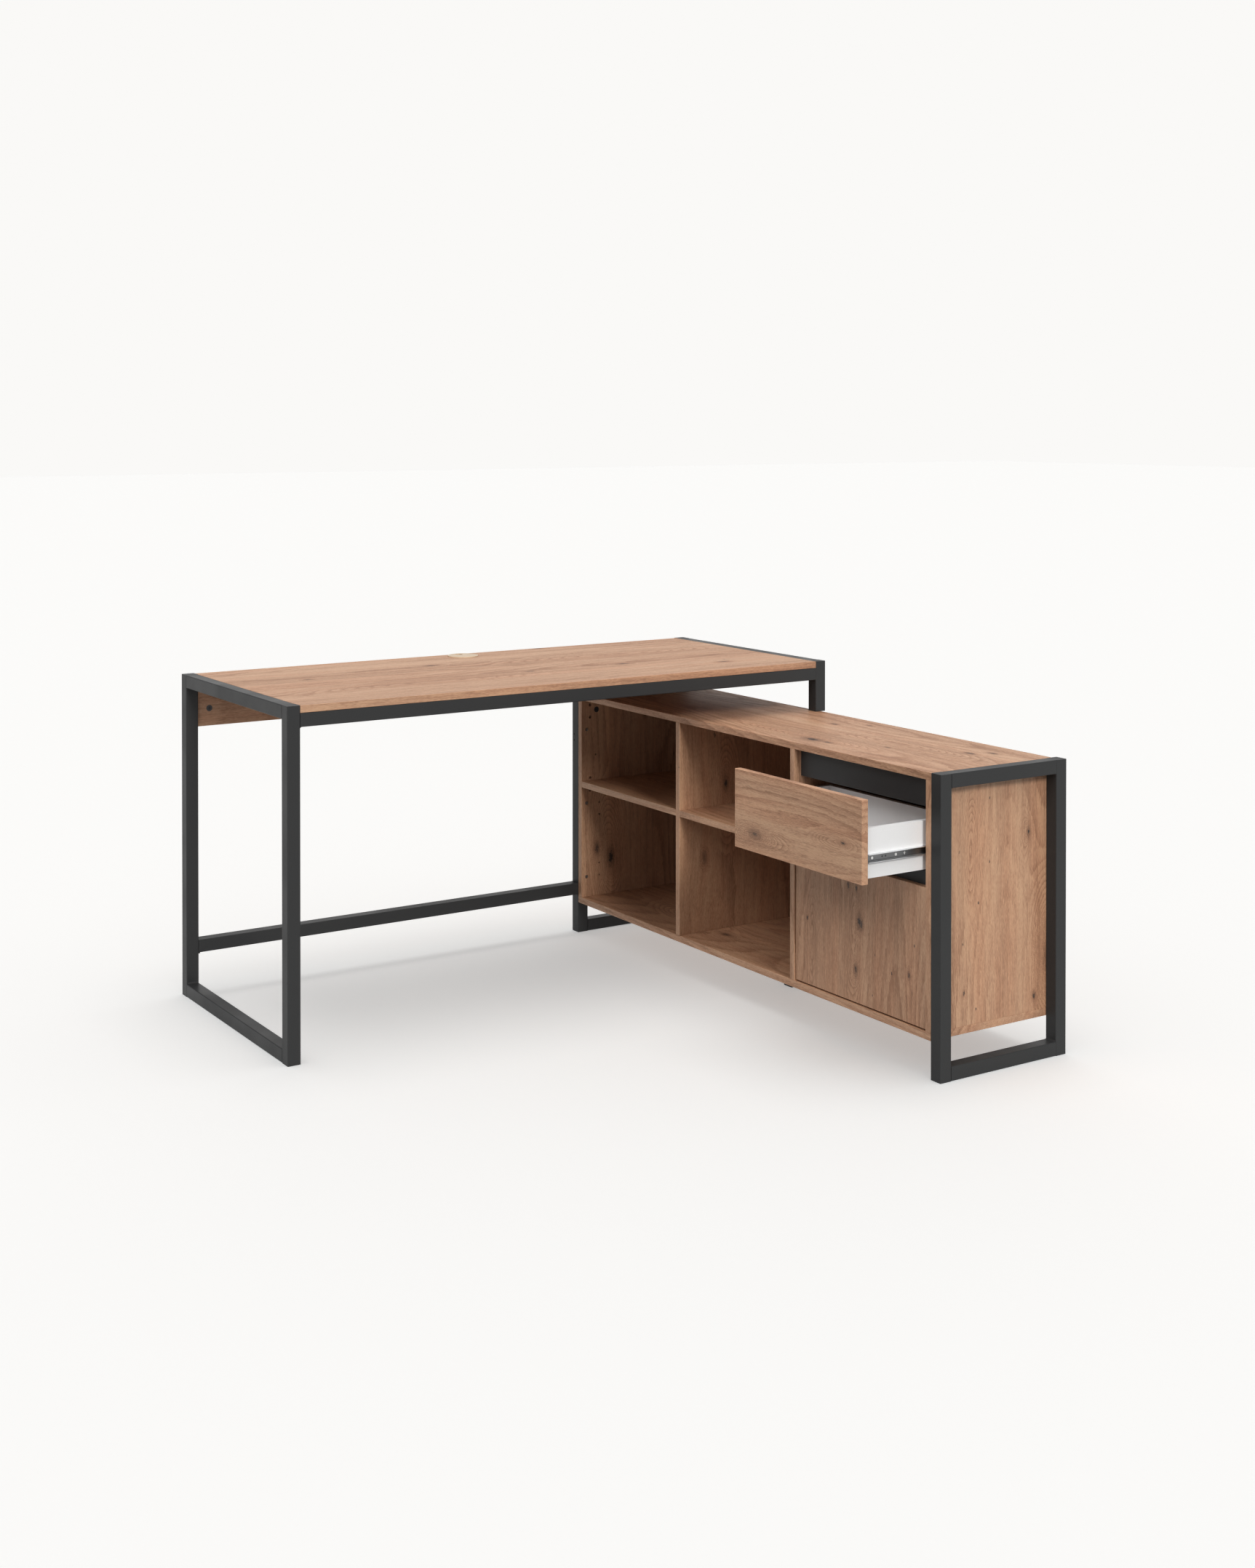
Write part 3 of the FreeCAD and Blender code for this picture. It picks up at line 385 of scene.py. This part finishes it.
# ---- which board has which print ----
# Each board has its grain axis, a seed that moves it through the print, its knots and its figures, as in
# oak(). Places are shares of the board's own box; radii and half sizes are in metres.
BOARDS = {
    "desk_top": ("x", 1.0, (
        ((0.39, 0.72, 1.0), 0.0060, 0.75, 6.0), ((0.68, 0.99, 1.0), 0.005, 0.6, 5.0),
        ((0.69, 0.36, 1.0), 0.0055, 0.8, 6.0), ((0.50, 0.36, 1.0), 0.005, 0.6, 5.0),
        ((0.86, 0.20, 1.0), 0.0050, 0.7, 6.0), ((0.13, 0.60, 1.0), 0.004, 0.5, 5.0)), (
        ((0.30, 0.30, 1.0), 0.42, 0.070, 7.0), ((0.75, 0.65, 1.0), 0.45, 0.080, 8.0))),
    "modesty_panel": ("x", 7.0, (), (((0.3, 0.5, 0.5), 0.40, 0.050, 6.0),)),
    "sideboard_top": ("y", 2.0, (
        ((0.17, 0.337, 1.0), 0.0110, 0.95, 6.0), ((0.18, 0.300, 1.0), 0.0050, 0.7, 7.0),
        ((0.70, 0.441, 1.0), 0.0045, 0.85, 5.0), ((0.67, 0.096, 1.0), 0.0060, 0.8, 5.0),
        ((0.79, 0.076, 1.0), 0.0050, 0.7, 5.0), ((0.38, 0.209, 1.0), 0.0035, 0.5, 4.0),
        ((0.86, 0.396, 1.0), 0.0035, 0.5, 4.0)), (
        ((0.55, 0.22, 1.0), 0.30, 0.060, 7.0), ((0.22, 0.36, 1.0), 0.28, 0.055, 7.0))),
    "sideboard_bottom": ("y", 3.0, (((0.30, 0.620, 1.0), 0.0070, 0.7, 5.0),), (
        ((0.4, 0.75, 1.0), 0.25, 0.060, 7.0),)),
    "side_panel_near": ("z", 4.0, (
        ((0.81, 0.0, 0.740), 0.0034, 0.95, 7.0), ((0.39, 0.0, 0.484), 0.0030, 0.8, 0),
        ((0.26, 0.0, 0.329), 0.0022, 0.7, 0), ((0.48, 0.0, 0.642), 0.0024, 0.8, 0),
        ((0.27, 0.0, 0.132), 0.0030, 0.75, 3.0), ((0.37, 0.0, 0.060), 0.0028, 0.8, 0),
        ((0.86, 0.0, 0.060), 0.0046, 0.8, 4.0), ((1.0, 0.0, 0.215), 0.0150, 0.8, 5.0),
        ((0.48, 0.0, 0.900), 0.0024, 0.8, 0), ((0.23, 0.0, 0.700), 0.0022, 0.5, 0)), (
        ((0.33, 0.0, 0.71), 0.17, 0.032, 7.0), ((0.80, 0.0, 0.73), 0.09, 0.022, 5.0),
        ((0.99, 0.0, 0.24), 0.24, 0.075, 11.0))),
    "side_panel_far": ("z", 5.0, (
        ((0.27, 0.0, 0.185), 0.0095, 0.95, 5.0), ((0.14, 0.0, 0.240), 0.0070, 0.65, 5.0),
        ((0.59, 0.0, 0.908), 0.0040, 0.7, 4.0)), (
        ((0.24, 0.0, 0.25), 0.22, 0.070, 10.0),)),
    "partition_near": ("z", 6.0, (), ()),
    "partition_far": ("z", 8.0, (
        ((0.41, 0.0, 0.690), 0.0060, 0.9, 6.0), ((0.31, 0.0, 0.925), 0.0045, 0.6, 0),
        ((0.22, 0.0, 0.350), 0.0040, 0.3, 8.0)), (
        ((0.41, 0.0, 0.66), 0.18, 0.050, 8.0),)),
    "shelf_middle": ("y", 9.0, (), (((0.4, 0.3, 1.0), 0.20, 0.050, 6.0),)),
    "shelf_far": ("y", 10.0, (), (((0.5, 0.6, 1.0), 0.20, 0.050, 6.0),)),
    "drawer_front": ("y", 11.0, (
        ((0.0, 0.830, 0.230), 0.0055, 0.60, 9.0), ((0.0, 0.140, 0.433), 0.0028, 0.9, 6.0)), (
        ((0.0, 0.86, 0.26), 0.200, 0.042, 9.0), ((0.0, 0.20, 0.43), 0.105, 0.026, 6.0))),
    "door": ("z", 12.0, (
        ((0.0, 0.490, 0.603), 0.0070, 0.9, 5.0), ((0.0, 0.475, 0.585), 0.0050, 0.8, 5.0),
        ((0.0, 0.513, 0.841), 0.0038, 0.8, 4.0), ((0.0, 0.575, 0.845), 0.0042, 0.75, 4.0),
        ((0.0, 0.518, 0.241), 0.0040, 0.85, 7.0), ((0.0, 0.119, 0.336), 0.0036, 0.75, 4.0),
        ((0.0, 0.245, 0.308), 0.0024, 0.85, 0), ((0.0, 0.390, 0.098), 0.0022, 0.8, 0),
        ((0.0, 0.905, 0.505), 0.0026, 0.8, 3.0), ((0.0, 0.080, 0.560), 0.0024, 0.7, 0),
        ((0.0, 0.372, 0.400), 0.0020, 0.6, 0)), (
        ((0.0, 0.51, 0.52), 0.24, 0.045, 9.0), ((0.0, 0.86, 0.35), 0.16, 0.030, 5.0))),
}

STEEL = powder_coat("anthracite_coat", (0.039, 0.040, 0.041))
FINISHES = {
    "graphite_laminate": smooth_laminate("graphite_melamine", (0.042, 0.042, 0.043), 900.0, 0.50),
    "white_laminate": smooth_laminate("white_foil", (0.845, 0.848, 0.855), 700.0, 0.42),
    "brown_hardboard": hardboard_with_painted_shade("hardboard"),
    "beech": turned_beech("beech"),
    "anthracite_steel": STEEL,
    "zinc_steel": plated("bright_zinc", (0.42, 0.43, 0.44), "x", 0.40),
    "nickel_steel": plated("nickel", (0.62, 0.61, 0.59), "z", 0.30),
    "black_plastic": moulded("black_moulding", (0.040, 0.041, 0.043), 0.46),
    "beige_plastic": moulded("beige_moulding", (0.62, 0.49, 0.355), 0.40),
}

SPECIAL_FINISHES = {
    "cam_locks": plated("die_cast_zinc", (0.115, 0.115, 0.120), "z", 0.50),
    "drawer_screws": plated("bright_screws", (0.82, 0.82, 0.81), "y", 0.30),
    "slide_drawer_members": slide_with_painted_shade("drawer_slide", "slide_drawer_members"),
}


def paint(item, material):
    """Gives one object a single material."""
    item.data.materials.clear()
    item.data.materials.append(material)


def paint_nodes():
    """Gives every CAD node its finish."""
    for entry in frame["record"]["subparts"]:
        node = entry["node"]
        if node in BOARDS:
            grain, seed, knots, figures = BOARDS[node]
            knots = [(at(node, knot[0]), *knot[1:]) for knot in knots]
            figures = [(at(node, figure[0]), *figure[1:]) for figure in figures]
            material = oak(node, grain, seed, knots, figures)
        else:
            material = SPECIAL_FINISHES.get(node, FINISHES[entry["material_slot"]])
        paint(frame["nodes"][node], material)


# ---- small pieces ----
def add_piece(mesh, name, material, body):
    """Turns a bmesh into an object with one material that rides on a body."""
    bmesh.ops.recalc_face_normals(mesh, faces=mesh.faces)
    data = bpy.data.meshes.new(name)
    mesh.to_mesh(data)
    mesh.free()
    item = bpy.data.objects.new(name, data)
    bpy.context.scene.collection.objects.link(item)
    paint(item, material)
    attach(item, body)


# ---- welds ----
BEAD = 0.0045
TUBE_EDGE = 0.002
BEAD_STEPS = 6


def bead(name, corner, first, second, run, length):
    """A weld fillet in an inside corner: hollow towards the open side, run along one direction."""
    mesh = bmesh.new()
    corner = Vector(corner)
    first = Vector(first)
    second = Vector(second)
    run = Vector(run)
    centre = corner + (first + second) * BEAD
    rows = []
    for end in (-0.5, 0.5):
        shift = run * (length * end)
        row = [mesh.verts.new(corner + shift)]
        for step in range(BEAD_STEPS + 1):
            angle = math.pi / 2 * step / BEAD_STEPS
            point = centre - second * (BEAD * math.cos(angle)) - first * (BEAD * math.sin(angle))
            row.append(mesh.verts.new(point + shift))
        rows.append(row)
    count = len(rows[0])
    for index in range(count):
        after = (index + 1) % count
        mesh.faces.new((rows[0][index], rows[0][after], rows[1][after], rows[1][index]))
    mesh.faces.new(rows[0])
    mesh.faces.new(rows[1])
    add_piece(mesh, name, STEEL, BODY)


def weld_rail(rail, axis, inward):
    """A bead at each end of a rail, on the side that faces the frame's opening."""
    low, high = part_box(rail)
    along_axis = AXIS[axis]
    across = 1 - along_axis
    level = high[2] if inward > 0 else low[2]
    run = [0.0, 0.0, 0.0]
    run[across] = 1.0
    for end, sign in ((low, 1.0), (high, -1.0)):
        corner = [0.0, 0.0, level]
        corner[along_axis] = end[along_axis]
        corner[across] = (low[across] + high[across]) / 2
        away = [0.0, 0.0, 0.0]
        away[along_axis] = sign
        length = high[across] - low[across] - 2 * TUBE_EDGE
        side = "low" if sign > 0 else "high"
        bead("weld_" + rail + "_" + side, corner, away, (0.0, 0.0, inward), run, length)


def make_welds():
    """The fillets inside the corners of the welded frames."""
    for frame_name, axis in (("left", "y"), ("near", "x"), ("far", "x")):
        weld_rail(frame_name + "_rail_top", axis, -1.0)
        weld_rail(frame_name + "_rail_bottom", axis, 1.0)
    weld_rail("right_rail_top", "y", -1.0)
    weld_rail("front_apron", "x", -1.0)


# ---- pressed marks in the drawer slides ----
# low enough to pass under the ball cage, which runs half a millimetre off the web
MARK_HEIGHT = 0.0004
# how far the web lies behind the lips' outer edge, along Y
SLIDE_LIP_DEPTH = 0.0075
# the round dimples are coloured dark as painted shade
SHADED_ROUND_MARK = (0.0019,) * 16
STAR_MARK = (0.0042, 0.0021) * 4
SLIDE_MARKS = ((0.0412, SHADED_ROUND_MARK), (0.0502, SHADED_ROUND_MARK), (0.1020, STAR_MARK))


def pressed_mark(name, centre, outward, radii):
    """A low raised mark on a web that faces along Y; radii go once round its outline."""
    mesh = bmesh.new()
    rings = []
    for share, height in ((1.0, -0.1), (0.85, 0.7), (0.45, 1.0)):
        ring = []
        for index, radius in enumerate(radii):
            angle = math.tau * index / len(radii)
            shift = (radius * share * math.cos(angle), outward * MARK_HEIGHT * height,
                     radius * share * math.sin(angle))
            ring.append(mesh.verts.new(Vector(centre) + Vector(shift)))
        rings.append(ring)
    for lower, upper in zip(rings, rings[1:]):
        for index in range(len(lower)):
            after = (index + 1) % len(lower)
            mesh.faces.new((lower[index], lower[after], upper[after], upper[index]))
    mesh.faces.new(rings[0])
    mesh.faces.new(rings[-1])
    # the round dimples take the dark cam-lock zinc as painted shade, though they are pressed in the slide's
    # own steel; the stars take the bright screw finish
    finish = SPECIAL_FINISHES["cam_locks" if radii == SHADED_ROUND_MARK else "drawer_screws"]
    add_piece(mesh, name, finish, "drawer")


def make_slide_marks():
    """The pressed dimples, dark with painted shade, and stars on the moving channel of each drawer slide."""
    low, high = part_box("slide_drawer_members")
    level = (low[2] + high[2]) / 2
    for side, edge, outward in (("near", low[1], -1.0), ("far", high[1], 1.0)):
        web = edge - outward * SLIDE_LIP_DEPTH
        for number, (along_x, radii) in enumerate(SLIDE_MARKS, 1):
            name = "slide_mark_" + side + "_" + str(number)
            pressed_mark(name, (low[0] + along_x, web, level), outward, radii)


# ---- stage, light and camera ----
FLOOR_REACH = 40.0
FLOOR = (0.82, 0.795, 0.77, 1.0)
FLOOR_GLOW = (0.392, 0.405, 0.411)
BACKDROP = (0.963, 0.955, 0.941)
WALL_LOW = (0.05, 0.05, 0.05)
WALL_HIGH = (0.50, 0.50, 0.50)
FROM_BELOW = (0.36, 0.355, 0.345)
UP = (0.0, 0.0, 1.0)
TOWARD_BACKDROP = (0.53, 0.85, 0.0)
# each sun: strength, the way its light travels, spread in degrees, colour
OVERHEAD_SUN = (0.78, (0.0, 0.04, -1.0), 44.0, (1.0, 1.0, 1.0))
KEY_SUN = (1.75, (0.10, 0.86, -0.50), 16.0, (1.0, 0.985, 0.96))
SIDE_SUN = (1.22, (0.68, 0.34, -0.68), 34.0, (1.0, 1.0, 1.0))
CONTRAST_GAMMA = 0.84
# the camera: its place in metres, how far it looks down and turns right in degrees, lens and shift
CAMERA_PLACE = (-2.3926, -3.7035, 1.3710)
CAMERA_DOWN = 0.673
CAMERA_RIGHT = 32.161
SENSOR_WIDTH = 36.0
LENS = 44.948
SHIFT = (0.0313, -0.2202)


def make_floor():
    """A wide pale floor that glows a little and gives the object no diffuse bounce."""
    signs = ((-1, -1), (1, -1), (1, 1), (-1, 1))
    corners = [(x * FLOOR_REACH, y * FLOOR_REACH, 0) for x, y in signs]
    data = bpy.data.meshes.new("floor")
    data.from_pydata(corners, [], [(0, 1, 2, 3)])
    floor = bpy.data.objects.new("floor", data)
    bpy.context.scene.collection.objects.link(floor)
    g = Graph("pale_floor", roughness=0.9, specular=0.0)
    g.shader.inputs["Emission Color"].default_value = (*FLOOR_GLOW, 1.0)
    g.shader.inputs["Emission Strength"].default_value = 1.0
    paint(floor, g.finish(FLOOR))
    floor.visible_diffuse = False
    return floor


def make_sun(name, strength, direction, spread, colour):
    """A broad, even light from far away; direction points from the light to the object."""
    data = bpy.data.lights.new(name, "SUN")
    data.energy = strength
    data.angle = math.radians(spread)
    data.color = colour
    item = bpy.data.objects.new(name, data)
    item.rotation_euler = Vector(direction).to_track_quat("-Z", "Y").to_euler()
    bpy.context.scene.collection.objects.link(item)
    return item


def make_world():
    """A studio: a pale horizon all round, dim walls, a grey ceiling and a pale backdrop.

    The light from below stands in for the floor's own bounce.
    """
    world = bpy.data.worlds.new("studio")
    world.use_nodes = True
    nodes = world.node_tree.nodes
    links = world.node_tree.links
    surround = nodes["Background"]
    direction = nodes.new("ShaderNodeTexCoord").outputs["Generated"]

    def soft_step(vector, low, high):
        dot = nodes.new("ShaderNodeVectorMath")
        dot.operation = "DOT_PRODUCT"
        links.new(direction, dot.inputs[0])
        dot.inputs[1].default_value = vector
        step = nodes.new("ShaderNodeMapRange")
        step.interpolation_type = "SMOOTHSTEP"
        links.new(dot.outputs["Value"], step.inputs["Value"])
        step.inputs["From Min"].default_value = low
        step.inputs["From Max"].default_value = high
        return step.outputs["Result"]

    def blend(factor, first, second):
        node = nodes.new("ShaderNodeMix")
        node.data_type = "RGBA"
        links.new(factor, node.inputs[0])
        for socket, value in ((node.inputs[6], first), (node.inputs[7], second)):
            if isinstance(value, tuple):
                socket.default_value = (*value, 1.0)
            else:
                links.new(value, socket)
        return node.outputs[2]

    walls = soft_step(UP, 0.05, 0.75)
    above = soft_step(UP, 0.07, 0.15)
    room = blend(above, BACKDROP, blend(walls, WALL_LOW, WALL_HIGH))
    below = soft_step(UP, -0.10, 0.0)
    room = blend(below, FROM_BELOW, room)
    toward = soft_step(TOWARD_BACKDROP, 0.70, 0.90)
    links.new(blend(toward, room, BACKDROP), surround.inputs["Color"])
    surround.inputs["Strength"].default_value = 1.0
    bpy.context.scene.world = world


def make_light(floor):
    """An overhead sun, a key sun from the front and a side sun from the left; these two skip the floor."""
    make_world()
    make_sun("overhead", *OVERHEAD_SUN)
    key = make_sun("key", *KEY_SUN)
    side = make_sun("side", *SIDE_SUN)
    floor_left_out = bpy.data.collections.new("floor_left_out")
    floor_left_out.objects.link(floor)
    floor_left_out.collection_objects[0].light_linking.link_state = "EXCLUDE"
    for light in (key, side):
        light.light_linking.receiver_collection = floor_left_out
    bpy.context.scene.view_settings.view_transform = "Standard"
    bpy.context.scene.view_settings.gamma = CONTRAST_GAMMA


def make_camera():
    """The photograph's viewpoint: eye height, turned right, with the horizon high in the frame."""
    data = bpy.data.cameras.new("camera")
    data.sensor_width = SENSOR_WIDTH
    data.lens = LENS
    data.shift_x, data.shift_y = SHIFT
    data.clip_end = 200.0
    camera = bpy.data.objects.new("camera", data)
    camera.location = CAMERA_PLACE
    camera.rotation_euler = (math.radians(90.0 - CAMERA_DOWN), 0.0, math.radians(-CAMERA_RIGHT))
    bpy.context.scene.collection.objects.link(camera)
    bpy.context.scene.camera = camera


make_camera()
make_light(make_floor())
paint_nodes()
make_welds()
make_slide_marks()
